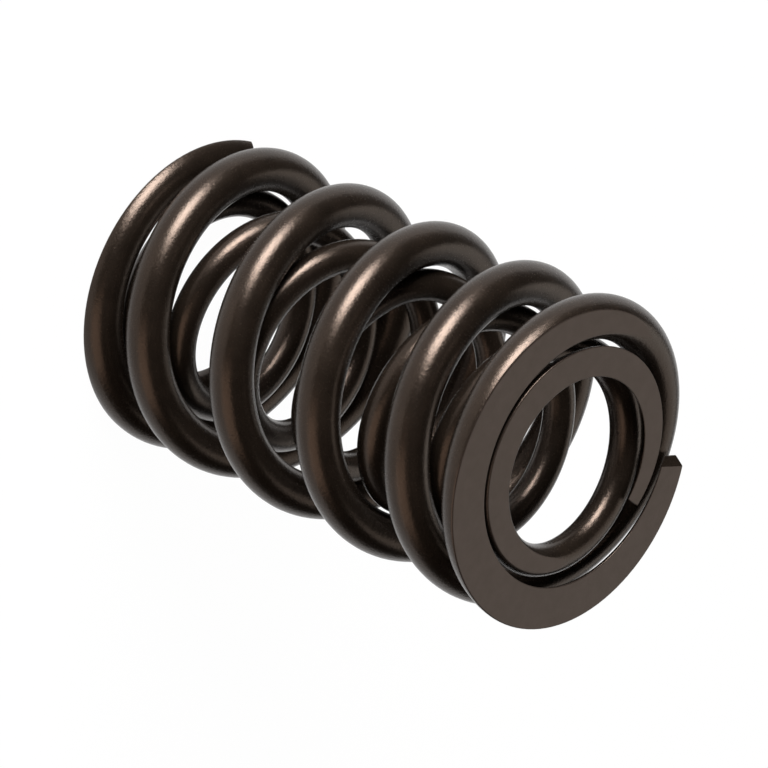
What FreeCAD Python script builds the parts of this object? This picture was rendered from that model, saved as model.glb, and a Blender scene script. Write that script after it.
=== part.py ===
import FreeCAD, Part
import math
import os

# Dual engine valve spring, two springs nested one inside the other, in millimetres.
# It stands on its ground lower end: origin at the middle of that end, coil axis along +Z.
# Each spring is one piece of round wire with closed ends that are ground flat.

# Both springs stand on the same seat and reach the same retainer
free_length = 52.6

# Outer spring, a right-hand coil
outer_wire = 4.4
outer_coil_mean = 28.6
outer_turns = 5.767
outer_tip_angle = -71.6
outer_upper_tip_thickness = 0.70
outer_lower_tip_thickness = 1.0
outer_upper_closed_turns = 0.72
outer_upper_blend_turns = 0.63
outer_lower_closed_turns = 0.60
outer_lower_blend_turns = 0.73
outer_bow = 0.75
outer_bow_place = 0.15
outer_bow_reach = 0.25
outer_bevel_length = 0.9
outer_bevel_depth = 0.52

# Inner spring, a left-hand coil, so that its turns can't drop between those of the outer one
inner_wire = 3.2
inner_turns = 7.272
inner_tip_angle = -95.0
inner_upper_tip_thickness = 0.3
inner_lower_tip_thickness = 0.3
inner_upper_closed_turns = 0.58
inner_upper_blend_turns = 0.84
inner_lower_closed_turns = 0.72
inner_lower_blend_turns = 0.72
inner_bow = 0.65
inner_bow_place = 0.06
inner_bow_reach = 0.3

# Radial running clearance between the two springs, and the gap where a closed turn
# lies against its neighbour
nesting_clearance = 0.2
closed_gap = 0.05

# Points that the curve of each wire is laid through
points_per_turn = 12

inner_coil_mean = outer_coil_mean - outer_wire - 2 * nesting_clearance - inner_wire


def hump(t):
    """A raised cosine: 1 at t = 0, falling to 0 at t = -1 and t = 1."""
    if abs(t) >= 1:
        return 0.0
    return (1 + math.cos(math.pi * t)) / 2


def smooth_step_area(t):
    """Area from 0 to t under a step that eases from 0 to 1 as t goes from 0 to 1."""
    if t <= 0:
        return 0.0
    if t >= 1:
        return t - 0.5
    return t ** 3 - t ** 4 / 2


class Coil:
    """Centre line of one spring, followed in turns from its upper tip to its lower tip.

    The hand is 1 for a right-hand coil and -1 for a left-hand one.
    """

    def __init__(self, wire, mean, turns, hand, tip_angle, tips, upper, lower, bow):
        self.wire = wire
        self.mean = mean
        self.turns = turns
        self.hand = hand
        self.tip_angle = tip_angle
        self.upper_closed, self.upper_blend = upper
        self.lower_closed, self.lower_blend = lower
        self.bow, self.bow_place, self.bow_reach = bow
        self.closed_pitch = wire + closed_gap
        upper_tip, lower_tip = tips
        self.tip_rise = wire / 2 - upper_tip
        drop = free_length + self.tip_rise + wire / 2 - lower_tip
        closed = self.upper_closed + self.lower_closed + (self.upper_blend + self.lower_blend) / 2
        self.open_pitch = (drop - self.closed_pitch * closed) / (turns - closed)

    def height(self, s):
        """Height of the wire's centre, s turns from the upper tip.

        The pitch is the closed one at both ends and eases into the open one, so the drop
        is the closed pitch times s, plus the added pitch times the area under the easing.
        """
        added = self.open_pitch - self.closed_pitch
        upper_area = self.upper_blend * smooth_step_area((s - self.upper_closed) / self.upper_blend)
        lower_start = self.turns - self.lower_closed - self.lower_blend
        lower_area = self.lower_blend * smooth_step_area((s - lower_start) / self.lower_blend)
        drop = self.closed_pitch * s + added * (upper_area - lower_area)
        return free_length + self.tip_rise - drop

    def radius(self, s):
        """Radius of the wire's centre, which bows out near the upper tip."""
        return self.mean / 2 + self.bow * hump((s - self.bow_place) / self.bow_reach)

    def point(self, s):
        angle = math.radians(self.tip_angle - self.hand * 360 * s)
        radius = self.radius(s)
        return FreeCAD.Vector(radius * math.cos(angle), radius * math.sin(angle), self.height(s))


outer = Coil(
    outer_wire, outer_coil_mean, outer_turns, 1, outer_tip_angle,
    (outer_upper_tip_thickness, outer_lower_tip_thickness),
    (outer_upper_closed_turns, outer_upper_blend_turns),
    (outer_lower_closed_turns, outer_lower_blend_turns),
    (outer_bow, outer_bow_place, outer_bow_reach))
inner = Coil(
    inner_wire, inner_coil_mean, inner_turns, -1, inner_tip_angle,
    (inner_upper_tip_thickness, inner_lower_tip_thickness),
    (inner_upper_closed_turns, inner_upper_blend_turns),
    (inner_lower_closed_turns, inner_lower_blend_turns),
    (inner_bow, inner_bow_place, inner_bow_reach))


def wound_wire(coil):
    """Round wire swept along a smooth curve through points on the coil, its ends not yet ground."""
    count = int(round(coil.turns * points_per_turn))
    points = [coil.point(coil.turns * i / count) for i in range(count + 1)]
    curve = Part.BSplineCurve()
    curve.interpolate(points)
    spine = Part.Wire([curve.toShape()])
    heading = curve.tangent(curve.FirstParameter)[0]
    section = Part.Wire([Part.makeCircle(coil.wire / 2, points[0], heading)])
    return spine.makePipeShell([section], True, True)


def grind_ends(wound, coil):
    """Take off everything past the two end planes, which leaves a flat on each end turn."""
    reach = coil.mean + coil.wire + 2 * coil.bow
    stock = Part.makeBox(2 * reach, 2 * reach, free_length, FreeCAD.Vector(-reach, -reach, 0))
    return wound.common(stock)


def bevel_tip(ground, coil, length, depth):
    """Slope the upper tip down from the flat to its cut end.

    The cutter is a prism two wires wide. Its slope starts on the flat, one bevel length
    back from the end, and meets the end one bevel depth below the flat. Past the end it
    runs on level, above the turn below.
    """
    end = coil.point(0)
    back = coil.point(0.001) - end
    back.z = 0
    back.normalize()
    up = FreeCAD.Vector(0, 0, 1)
    across = up.cross(back) * coil.wire
    flat = FreeCAD.Vector(end.x, end.y, free_length) - across
    start = flat + back * length
    toe = flat - up * depth
    past = toe - back * length
    corners = [start, toe, past, past + up * 2 * depth, start + up * depth, start]
    cutter = Part.Face(Part.makePolygon(corners)).extrude(across * 2)
    return ground.cut(cutter)


outer_spring = bevel_tip(grind_ends(wound_wire(outer), outer), outer, outer_bevel_length, outer_bevel_depth)
inner_spring = grind_ends(wound_wire(inner), inner)

os.makedirs("parts", exist_ok=True)
outer_spring.exportStep("parts/outer_spring.step")
inner_spring.exportStep("parts/inner_spring.step")
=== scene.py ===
import bpy
import numpy as np
from mathutils import Matrix, Vector


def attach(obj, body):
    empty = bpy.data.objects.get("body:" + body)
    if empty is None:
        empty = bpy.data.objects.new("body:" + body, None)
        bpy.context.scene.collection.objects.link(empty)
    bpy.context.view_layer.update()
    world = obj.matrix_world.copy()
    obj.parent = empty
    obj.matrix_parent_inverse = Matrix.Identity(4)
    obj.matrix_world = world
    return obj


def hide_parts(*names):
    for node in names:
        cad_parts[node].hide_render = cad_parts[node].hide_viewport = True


# The springs are worked out in millimetres, and the scene is in metres
MM = 0.001

# Sizes that both springs share
free_length = 52.6
closed_gap = 0.05
nesting_clearance = 0.2

# How much of a sharp ground edge is rubbed off, and how far a cut end is rounded
edge_break = 0.16
end_round = 0.08

# Steps across half a flat and round its broken edge, and the half angle in degrees below which
# a flat is too narrow to have a broken edge
flat_steps = 4
corner_steps = 4
narrowest_flat = 8.0


def hump(t):
    """A raised cosine: half of one plus the cosine of pi times t, and zero past t = -1 and t = 1."""
    return np.where(np.abs(t) < 1, (1 + np.cos(np.pi * t)) / 2, 0.0)


def eased_area(t):
    """Area under a step that eases from 0 to 1.

    It is t cubed less half of t to the fourth up to t = 1, and t less a half from there on.
    """
    inside = np.clip(t, 0.0, 1.0)
    return inside ** 3 - inside ** 4 / 2 + np.maximum(t - 1, 0.0)


class Coil:
    """Centre line of one spring, in millimetres, with s in turns from the upper tip to the lower tip.

    The hand is 1 for a right-hand coil and -1 for a left-hand one. The tips are the thicknesses
    left at the two cut ends. Upper and lower each give the closed turns and the turns over which
    the pitch eases. The bow gives how far the upper tip stands out, its place and its reach in
    turns. The bevel gives the depth and the length of the slope on the upper tip.
    """

    def __init__(self, wire, mean, turns, hand, tip_angle, tips, upper, lower, bow, bevel=(0.0, 1.0)):
        self.wire, self.mean, self.turns, self.hand = wire, mean, turns, hand
        self.tip_angle = tip_angle
        self.upper_tip, self.lower_tip = tips
        self.upper_closed, self.upper_blend = upper
        self.lower_closed, self.lower_blend = lower
        self.bow, self.bow_place, self.bow_reach = bow
        self.bevel_depth, self.bevel_length = bevel
        self.closed_pitch = wire + closed_gap
        self.tip_rise = wire / 2 - self.upper_tip
        closed = self.upper_closed + self.lower_closed + (self.upper_blend + self.lower_blend) / 2
        drop = free_length + self.tip_rise + wire / 2 - self.lower_tip
        self.open_pitch = (drop - self.closed_pitch * closed) / (turns - closed)

    def height(self, s):
        """Closed pitch times s, plus the added pitch times the area under the easing, taken off the top."""
        added = self.open_pitch - self.closed_pitch
        upper = self.upper_blend * eased_area((s - self.upper_closed) / self.upper_blend)
        start = self.turns - self.lower_closed - self.lower_blend
        lower = self.lower_blend * eased_area((s - start) / self.lower_blend)
        return free_length + self.tip_rise - self.closed_pitch * s - added * (upper - lower)

    def radius(self, s):
        """Half the mean diameter, plus a hump where the upper tip bows out."""
        return self.mean / 2 + self.bow * hump((s - self.bow_place) / self.bow_reach)

    def line(self, s):
        """A helix: radius times cosine and sine of the turned angle, and the height."""
        angle = np.radians(self.tip_angle - self.hand * 360 * s)
        radius = self.radius(s)
        return np.stack([radius * np.cos(angle), radius * np.sin(angle), self.height(s)], axis=-1)


outer_coil = Coil(
    wire=4.4, mean=28.6, turns=5.767, hand=1, tip_angle=-71.6, tips=(0.70, 1.0),
    upper=(0.72, 0.63), lower=(0.60, 0.73), bow=(0.75, 0.15, 0.25), bevel=(0.52, 0.9))
inner_wire = 3.2
inner_mean = outer_coil.mean - outer_coil.wire - 2 * nesting_clearance - inner_wire
inner_coil = Coil(
    wire=inner_wire, mean=inner_mean, turns=7.272, hand=-1, tip_angle=-95.0, tips=(0.3, 0.3),
    upper=(0.58, 0.84), lower=(0.72, 0.72), bow=(0.65, 0.06, 0.3))


def unit(v):
    """Each vector divided by its own length."""
    return v / np.linalg.norm(v, axis=-1, keepdims=True)


def cut_arc(r, h):
    """Top of a round section of radius r, cut by a plane at height h, for x from 0 outwards.

    Where the plane cuts it, the points run along the chord to its corner, round the corner by a
    square-law curve, and stop on the circle one edge break further. Elsewhere they lie on the circle.
    Returns x and y, the normal's x and y, the share of ground flat, and the circle's angle at the end.
    """
    slim = np.radians(narrowest_flat)
    h = np.minimum(h, r)[:, None]
    a = np.arccos(np.clip(h / r, -1, 1))
    half = np.maximum(a, slim)
    turn = np.minimum(edge_break / r, (np.pi - half - slim) * 0.4)
    w = r * np.sin(half)
    inner = w - np.minimum(turn * r, 0.4 * w)
    t = np.linspace(0, 1, flat_steps + 1)[None, :]
    q = np.linspace(0, 1, corner_steps + 1)[None, 1:]
    end_x, end_y = r * np.sin(half + turn), r * np.cos(half + turn)
    curve_x = (1 - q) ** 2 * inner + 2 * q * (1 - q) * w + q ** 2 * end_x
    curve_y = (1 - q) ** 2 * h + 2 * q * (1 - q) * h + q ** 2 * end_y
    slope_x = (1 - q) * (w - inner) + q * (end_x - w)
    slope_y = q * (end_y - h)
    size = np.hypot(slope_x, slope_y)
    x = np.concatenate([inner * t, curve_x], axis=1)
    y = np.concatenate([h + 0 * t, curve_y], axis=1)
    nx = np.concatenate([0 * inner * t, -slope_y / size], axis=1)
    ny = np.concatenate([1 + 0 * inner * t, slope_x / size], axis=1)
    ground = np.concatenate([1 + 0 * inner * t, (1 - q) + 0 * w], axis=1)
    g = np.concatenate([(half - turn) * t, half - turn + 2 * turn * q], axis=1)
    round_y = np.minimum(r * np.cos(g), h)
    clipped = r * np.cos(g) > h + 1e-6
    cut = a > slim
    x = np.where(cut, x, r * np.sin(g))
    y = np.where(cut, y, round_y)
    nx = np.where(cut, nx, np.where(clipped, 0, np.sin(g)))
    ny = np.where(cut, ny, np.where(clipped, 1, np.cos(g)))
    ground = np.where(cut, ground, clipped)
    return x, y, nx, ny, ground, half + turn


def both_sides(v, sign):
    """Half a section's values, followed by the same values in reverse order times the sign."""
    return np.concatenate([v, sign * v[:, -2:0:-1]], axis=1)


def wound_spring(name, coil, rings_per_turn, side_steps):
    """Round wire carried along the coil, with ground flats and cut ends, as one closed mesh.

    A point is the centre plus y times the section's upward direction plus x times its level one,
    where (x, y) runs round the cut circle. The sections near a cut end shrink by a quarter circle.
    """
    r = coil.wire / 2
    around = np.pi * coil.mean

    # Places of the sections: close together at the rounded ends and where the bevel meets the flat
    tips = np.array([0, 0.15, 0.4, 0.7, 1.0])
    round_top = min(end_round, 0.3 * (coil.upper_tip - coil.bevel_depth))
    near = np.concatenate([tips * round_top, np.array([0.97, 1.0]) * coil.bevel_length]) / around
    far = coil.turns - tips[::-1] * end_round / around
    body = np.linspace(near[4], far[0], int(rings_per_turn * coil.turns) + 1)
    s = np.unique(np.concatenate([near, body, far]).round(9))

    # Centre, heading, level and upward direction of each section
    c = coil.line(s)
    step = 1e-4
    along = unit(coil.line(s + step) - coil.line(s - step))
    outward = c * [1, 1, 0]
    outward = unit(outward - (outward * along).sum(-1, keepdims=True) * along)
    upward = np.cross(along, outward) * coil.hand
    level = unit(outward * upward[:, 2:] - upward * outward[:, 2:])
    up = np.cross(level, along)
    up = up * np.sign(up[:, 2:])
    lean = up[:, 2]

    # Height of the plane that cuts each section: the ground end, or the bevel's slope
    back = unit((coil.line(np.array([1e-3])) - coil.line(np.array([0.0]))) * [1, 1, 0])
    slope = coil.bevel_depth / coil.bevel_length
    distance = ((c - c[:1]) @ back[0])
    on_bevel = (distance < coil.bevel_length) & (s < 0.25) & (coil.bevel_depth > 0)
    plane = free_length - np.where(on_bevel, coil.bevel_depth - slope * distance, 0.0)
    face = np.where(on_bevel[:, None], unit(np.array([0, 0, 1.0]) - slope * back), [[0, 0, 1.0]])

    # The outer half of each section from top to bottom, then its mirror image back up
    upper = cut_arc(r, (plane - c[:, 2]) / lean)
    lower = cut_arc(r, c[:, 2] / lean)
    t = np.linspace(0, 1, side_steps + 1)[None, 1:-1]
    g = upper[5] + (np.pi - lower[5] - upper[5]) * t
    x = np.concatenate([upper[0], r * np.sin(g), lower[0][:, ::-1]], axis=1)
    y = np.concatenate([upper[1], r * np.cos(g), -lower[1][:, ::-1]], axis=1)
    nx = np.concatenate([upper[2], np.sin(g), lower[2][:, ::-1]], axis=1)
    ny = np.concatenate([upper[3], np.cos(g), -lower[3][:, ::-1]], axis=1)
    # The bevel's slope takes the wire's dark oxide colour instead of the flat's, so it shows darker than
    # the flat
    ground = np.concatenate([upper[4] * ~on_bevel[:, None], 0 * g, lower[4][:, ::-1]], axis=1)
    top_share = np.concatenate([upper[4], 0 * g, 0 * lower[4]], axis=1)
    low_share = np.concatenate([0 * upper[4], 0 * g, lower[4][:, ::-1]], axis=1)

    x, nx = both_sides(x, -1), both_sides(nx, -1)
    y, ny, ground = both_sides(y, 1), both_sides(ny, 1), both_sides(ground, 1)
    top_share, low_share = both_sides(top_share, 1), both_sides(low_share, 1)

    # Round the two cut ends over
    from_start = s * around / round_top
    from_end = (coil.turns - s) * around / end_round
    bend = np.maximum(np.clip(1 - from_start, 0, 1), np.clip(1 - from_end, 0, 1))[:, None]
    size = np.where(s < coil.turns / 2, round_top, end_round)[:, None]
    inset = size * (1 - np.sqrt(1 - bend ** 2))
    x, y = x - inset * nx, y - inset * ny
    facing = np.where(s < coil.turns / 2, -1.0, 1.0)[:, None, None]

    up_n = up[:, None, :] * (1 - top_share - low_share)[..., None]
    up_n = up_n + face[:, None, :] * top_share[..., None]
    up_n = up_n + np.array([0, 0, 1.0]) * low_share[..., None]
    points = c[:, None, :] + x[..., None] * level[:, None, :] + y[..., None] * up[:, None, :]
    normals = unit(nx[..., None] * level[:, None, :] + ny[..., None] * up_n)
    bend3 = bend[..., None]
    normals = unit(np.sqrt(1 - bend3 ** 2) * normals + bend3 * facing * along[:, None, :])

    # Four-sided faces between the sections, and a fan on each cut end
    rings, cols = x.shape
    index = np.arange(rings * cols).reshape(rings, cols)
    beside = np.roll(index, -1, axis=1)
    quads = np.stack([index[:-1], index[1:], beside[1:], beside[:-1]], axis=-1).reshape(-1, 4)
    first, last = rings * cols, rings * cols + 1
    start_fan = np.stack([index[0], beside[0], np.full(cols, first)], axis=-1)
    end_fan = np.stack([beside[-1], index[-1], np.full(cols, last)], axis=-1)
    centres = np.stack([points[0].mean(0), points[-1].mean(0)])
    vertices = np.concatenate([points.reshape(-1, 3), centres])
    if coil.hand < 0:
        quads, start_fan, end_fan = quads[:, ::-1], start_fan[:, ::-1], end_fan[:, ::-1]
    loops = np.concatenate([quads.ravel(), start_fan.ravel(), end_fan.ravel()])
    sizes = np.concatenate([np.full(len(quads), 4), np.full(2 * cols, 3)])

    mesh = bpy.data.meshes.new(name)
    mesh.vertices.add(len(vertices))
    mesh.vertices.foreach_set("co", (vertices * MM).astype(np.float32).ravel())
    mesh.loops.add(len(loops))
    mesh.loops.foreach_set("vertex_index", loops.astype(np.int32))
    mesh.polygons.add(len(sizes))
    starts = np.concatenate([[0], np.cumsum(sizes)[:-1]])
    mesh.polygons.foreach_set("loop_start", starts.astype(np.int32))
    mesh.polygons.foreach_set("use_smooth", np.ones(len(sizes), bool))

    # A map in decimetres: along the wire, and round it
    run = np.repeat(s[:, None] * around, cols, axis=1)
    ring = np.repeat(np.linspace(0, np.pi * coil.wire, cols, endpoint=False)[None, :], rings, axis=0)
    u = np.concatenate([run.ravel(), [0.0, coil.turns * around]])[loops] / 100
    v = np.concatenate([ring.ravel(), [0.0, 0.0]])[loops] / 100
    wraps = len(quads) * 4
    quad_v = v[:wraps].reshape(-1, 4)
    full_round = np.pi * coil.wire / 100
    over_seam = quad_v.max(1) - quad_v.min(1) > full_round / 2
    quad_v[over_seam[:, None] & (quad_v < 1e-9)] = full_round
    v[:wraps] = quad_v.ravel()
    layer = mesh.uv_layers.new(name="along_wire")
    layer.data.foreach_set("uv", np.stack([u, v], axis=-1).astype(np.float32).ravel())
    mark = mesh.attributes.new("ground", "FLOAT", "POINT")
    mark.data.foreach_set("value", np.concatenate([ground.ravel(), [0.6, 0.6]]).astype(np.float32))
    mesh.update(calc_edges=True)

    tip_normals = np.repeat([-along[0], along[-1]], cols * 3, axis=0)
    flat_normals = np.concatenate([normals.reshape(-1, 3), -along[:1], along[-1:]])[loops]
    flat_normals[wraps:] = tip_normals
    mesh.normals_split_custom_set(flat_normals.astype(np.float32).tolist())
    piece = bpy.data.objects.new(name, mesh)
    bpy.context.scene.collection.objects.link(piece)
    return piece


def socket(node, name, value):
    """Sets one input of a node to a plain value."""
    node.inputs[name].default_value = value


def peened_steel(name):
    """Shot-peened wire with a dark bronze oxide, and ground flats where 'ground' is one.

    The colours, the roughness and the bumps are noise over the piece's own space. Each is mixed
    from the wire's value to the flat's by the attribute 'ground'.
    """
    material = bpy.data.materials.new(name)
    material.use_nodes = True
    tree = material.node_tree
    nodes, links = tree.nodes, tree.links
    shader = nodes["Principled BSDF"]
    place = nodes.new("ShaderNodeTexCoord")
    ground = nodes.new("ShaderNodeAttribute")
    ground.attribute_name = "ground"

    def noise(scale, detail, rough):
        """Noise over the piece's own space, with so many cells to a metre."""
        n = nodes.new("ShaderNodeTexNoise")
        socket(n, "Scale", scale)
        socket(n, "Detail", detail)
        socket(n, "Roughness", rough)
        links.new(place.outputs["Object"], n.inputs["Vector"])
        return n.outputs["Fac"]

    def mix(kind, factor, a, b):
        """From a to b by the factor, each of them a plain value or another node's output."""
        m = nodes.new("ShaderNodeMix")
        m.data_type = kind
        picks = {"FLOAT": (0, 2, 3, 0), "RGBA": (0, 6, 7, 2)}[kind]
        for place_in, value in zip(picks[:3], (factor, a, b)):
            if isinstance(value, bpy.types.NodeSocket):
                links.new(value, m.inputs[place_in])
            else:
                m.inputs[place_in].default_value = value
        return m.outputs[picks[3]]

    def scaled(value, low, high, out_low, out_high):
        """The value stretched in a straight line from one range to another, and held inside it."""
        m = nodes.new("ShaderNodeMapRange")
        links.new(value, m.inputs["Value"])
        socket(m, "From Min", low)
        socket(m, "From Max", high)
        socket(m, "To Min", out_low)
        socket(m, "To Max", out_high)
        return m.outputs["Result"]

    tint = scaled(noise(260, 3, 0.6), 0.3, 0.7, 0.0, 1.0)
    oxide = mix("RGBA", tint, (0.0042, 0.0030, 0.0022, 1), (0.0074, 0.0052, 0.0038, 1))
    flat_tint = scaled(noise(700, 4, 0.65), 0.3, 0.7, 0.0, 1.0)
    flat = mix("RGBA", flat_tint, (0.017, 0.013, 0.011, 1), (0.025, 0.019, 0.017, 1))
    links.new(mix("RGBA", ground.outputs["Fac"], oxide, flat), shader.inputs["Base Color"])

    grain = scaled(noise(5200, 2, 0.6), 0.3, 0.7, -0.03, 0.03)
    wire_rough = nodes.new("ShaderNodeMath")
    wire_rough.operation = "ADD"
    wire_rough.inputs[0].default_value = 0.25
    links.new(grain, wire_rough.inputs[1])
    rough = mix("FLOAT", ground.outputs["Fac"], wire_rough.outputs[0], 0.36)
    links.new(rough, shader.inputs["Roughness"])
    socket(shader, "Metallic", 0.0)
    socket(shader, "IOR", 1.42)
    socket(shader, "Specular Tint", (1.0, 0.76, 0.62, 1))

    dimples = nodes.new("ShaderNodeBump")
    socket(dimples, "Distance", 0.00003)
    links.new(mix("FLOAT", ground.outputs["Fac"], 0.9, 0.05), dimples.inputs["Strength"])
    links.new(noise(3600, 3, 0.7), dimples.inputs["Height"])
    waves = nodes.new("ShaderNodeBump")
    socket(waves, "Distance", 0.00006)
    socket(waves, "Strength", 0.16)
    links.new(noise(900, 2, 0.5), waves.inputs["Height"])
    links.new(waves.outputs["Normal"], dimples.inputs["Normal"])
    links.new(dimples.outputs["Normal"], shader.inputs["Normal"])
    return material


# Brightness of the surroundings from straight down (0) by the horizon (0.5) to straight up (1)
surroundings = [(0.0, 0.8), (0.5, 0.20), (0.57, 0.10), (0.66, 0.04), (0.80, 0.02), (1.0, 0.02)]

# Lamps on a ball round the springs: name, direction, sides in metres, watts and colour
lamp_distance = 0.5
lamps = [
    ("softbox", (0.70, 0.68, 0.23), (0.30, 0.27), 9.5, (1, 1, 1)),
    ("warm_card", (-0.80, 0.52, 0.30), (0.44, 0.40), 0.95, (1.0, 0.80, 0.66)),
    ("end_card", (0.0, -0.764, 0.645), (0.46, 0.46), 0.80, (1.0, 0.95, 0.88))]


def studio():
    """Dim surroundings, a softbox, two dim cards, an overhead fill and a floor that shows white.

    The overhead fill isn't seen in reflections. The floor keeps the springs' shadow: it glows
    white only for the camera and for what is seen in gloss or through glass.
    """
    scene = bpy.context.scene
    world = bpy.data.worlds.new("studio")
    scene.world = world
    world.use_nodes = True
    nodes, links = world.node_tree.nodes, world.node_tree.links
    background = nodes["Background"]
    place = nodes.new("ShaderNodeTexCoord")
    split = nodes.new("ShaderNodeSeparateXYZ")
    links.new(place.outputs["Generated"], split.inputs[0])
    ramp = nodes.new("ShaderNodeValToRGB")
    shift = nodes.new("ShaderNodeMapRange")
    socket(shift, "From Min", -1.0)
    socket(shift, "From Max", 1.0)
    links.new(split.outputs["Z"], shift.inputs["Value"])
    links.new(shift.outputs["Result"], ramp.inputs["Fac"])
    while len(ramp.color_ramp.elements) < len(surroundings):
        ramp.color_ramp.elements.new(0.5)
    for element, (at, value) in zip(ramp.color_ramp.elements, surroundings):
        element.position = at
        element.color = (value, value * 0.94, value * 0.89, 1)
    links.new(ramp.outputs["Color"], background.inputs["Color"])
    background.inputs["Strength"].default_value = 1.0

    middle = Vector((0, 0, free_length / 2 * MM))
    for name, toward, sides, energy, colour in lamps:
        lamp = bpy.data.lights.new(name, "AREA")
        lamp.shape = "RECTANGLE"
        lamp.size, lamp.size_y = sides
        lamp.energy = energy
        lamp.color = colour
        light = bpy.data.objects.new(name, lamp)
        toward = Vector(toward).normalized()
        light.location = middle + toward * lamp_distance
        light.rotation_mode = "QUATERNION"
        light.rotation_quaternion = toward.to_track_quat("Z", "Y")
        scene.collection.objects.link(light)

    fill_data = bpy.data.lights.new("overhead_fill", "AREA")
    fill_data.size = 0.8
    fill_data.energy = 2.4
    fill = bpy.data.objects.new("overhead_fill", fill_data)
    fill.location = (0, 0, 1.0)
    fill.visible_glossy = False
    scene.collection.objects.link(fill)

    bpy.ops.mesh.primitive_plane_add(size=40, location=(0, 0, 0))
    floor = bpy.context.active_object
    floor.name = "floor"
    paper = bpy.data.materials.new("white_paper")
    paper.use_nodes = True
    tree = paper.node_tree
    shader = tree.nodes["Principled BSDF"]
    socket(shader, "Base Color", (0.9, 0.9, 0.9, 1))
    socket(shader, "Roughness", 0.9)
    glow = tree.nodes.new("ShaderNodeEmission")
    socket(glow, "Color", (1, 1, 1, 1))
    blend = tree.nodes.new("ShaderNodeMixShader")
    path = tree.nodes.new("ShaderNodeLightPath")
    seen = path.outputs["Is Camera Ray"]
    for other in ("Is Glossy Ray", "Is Transmission Ray"):
        either = tree.nodes.new("ShaderNodeMath")
        either.operation = "MAXIMUM"
        tree.links.new(seen, either.inputs[0])
        tree.links.new(path.outputs[other], either.inputs[1])
        seen = either.outputs[0]
    share = tree.nodes.new("ShaderNodeMath")
    share.operation = "MULTIPLY"
    share.inputs[1].default_value = 0.98
    tree.links.new(seen, share.inputs[0])
    tree.links.new(share.outputs[0], blend.inputs[0])
    tree.links.new(shader.outputs[0], blend.inputs[1])
    tree.links.new(glow.outputs[0], blend.inputs[2])
    tree.links.new(blend.outputs[0], tree.nodes["Material Output"].inputs["Surface"])
    floor.data.materials.append(paper)


def photo_camera():
    """A long lens at the photo's viewing angle.

    The rows of the turn are the picture's right, down and forward directions. The lens is the
    focal length in pixels times the film's width over the picture's width.
    """
    picture, film = 768, 36.0
    tilt, roll = 0.8702, 0.4381
    distance, focal = 0.5370, 5444.1
    middle_x, middle_y = 384.498, 375.061
    down = np.array([np.sin(tilt) * np.cos(roll), np.sin(tilt) * np.sin(roll), -np.cos(tilt)])
    first = np.array([np.sin(roll), -np.cos(roll), 0.0])
    turn = np.stack([first, np.cross(down, first), down], axis=1)
    aside = np.array([middle_x - picture / 2, middle_y - picture / 2]) / focal * distance
    place = -turn.T @ np.append(aside, distance) + [0, 0, free_length / 2 * MM]
    data = bpy.data.cameras.new("camera")
    data.sensor_width = film
    data.lens = focal / picture * film
    data.clip_start, data.clip_end = 0.01, 50.0
    camera = bpy.data.objects.new("camera", data)
    axes = np.stack([turn[0], -turn[1], -turn[2]], axis=1)
    camera.matrix_world = Matrix.Translation(Vector(place)) @ Matrix(axes.tolist()).to_4x4()
    bpy.context.scene.collection.objects.link(camera)
    bpy.context.scene.camera = camera


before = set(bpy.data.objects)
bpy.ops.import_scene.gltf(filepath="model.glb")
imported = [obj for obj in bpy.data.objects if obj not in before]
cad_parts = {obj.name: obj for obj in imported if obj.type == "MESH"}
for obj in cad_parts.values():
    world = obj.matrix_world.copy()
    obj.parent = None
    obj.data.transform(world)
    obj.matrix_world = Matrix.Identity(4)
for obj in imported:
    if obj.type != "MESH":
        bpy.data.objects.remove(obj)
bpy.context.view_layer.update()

steel = peened_steel("peened_spring_steel_look")
for piece_name, node, coil, rings, sides in (
        ("outer_spring_wound", "outer_spring", outer_coil, 120, 16),
        ("inner_spring_wound", "inner_spring", inner_coil, 100, 14)):
    piece = wound_spring(piece_name, coil, rings, sides)
    piece.data.materials.append(steel)
    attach(piece, "root")
    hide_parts(node)

studio()
photo_camera()
bpy.context.scene.view_settings.view_transform = "Standard"
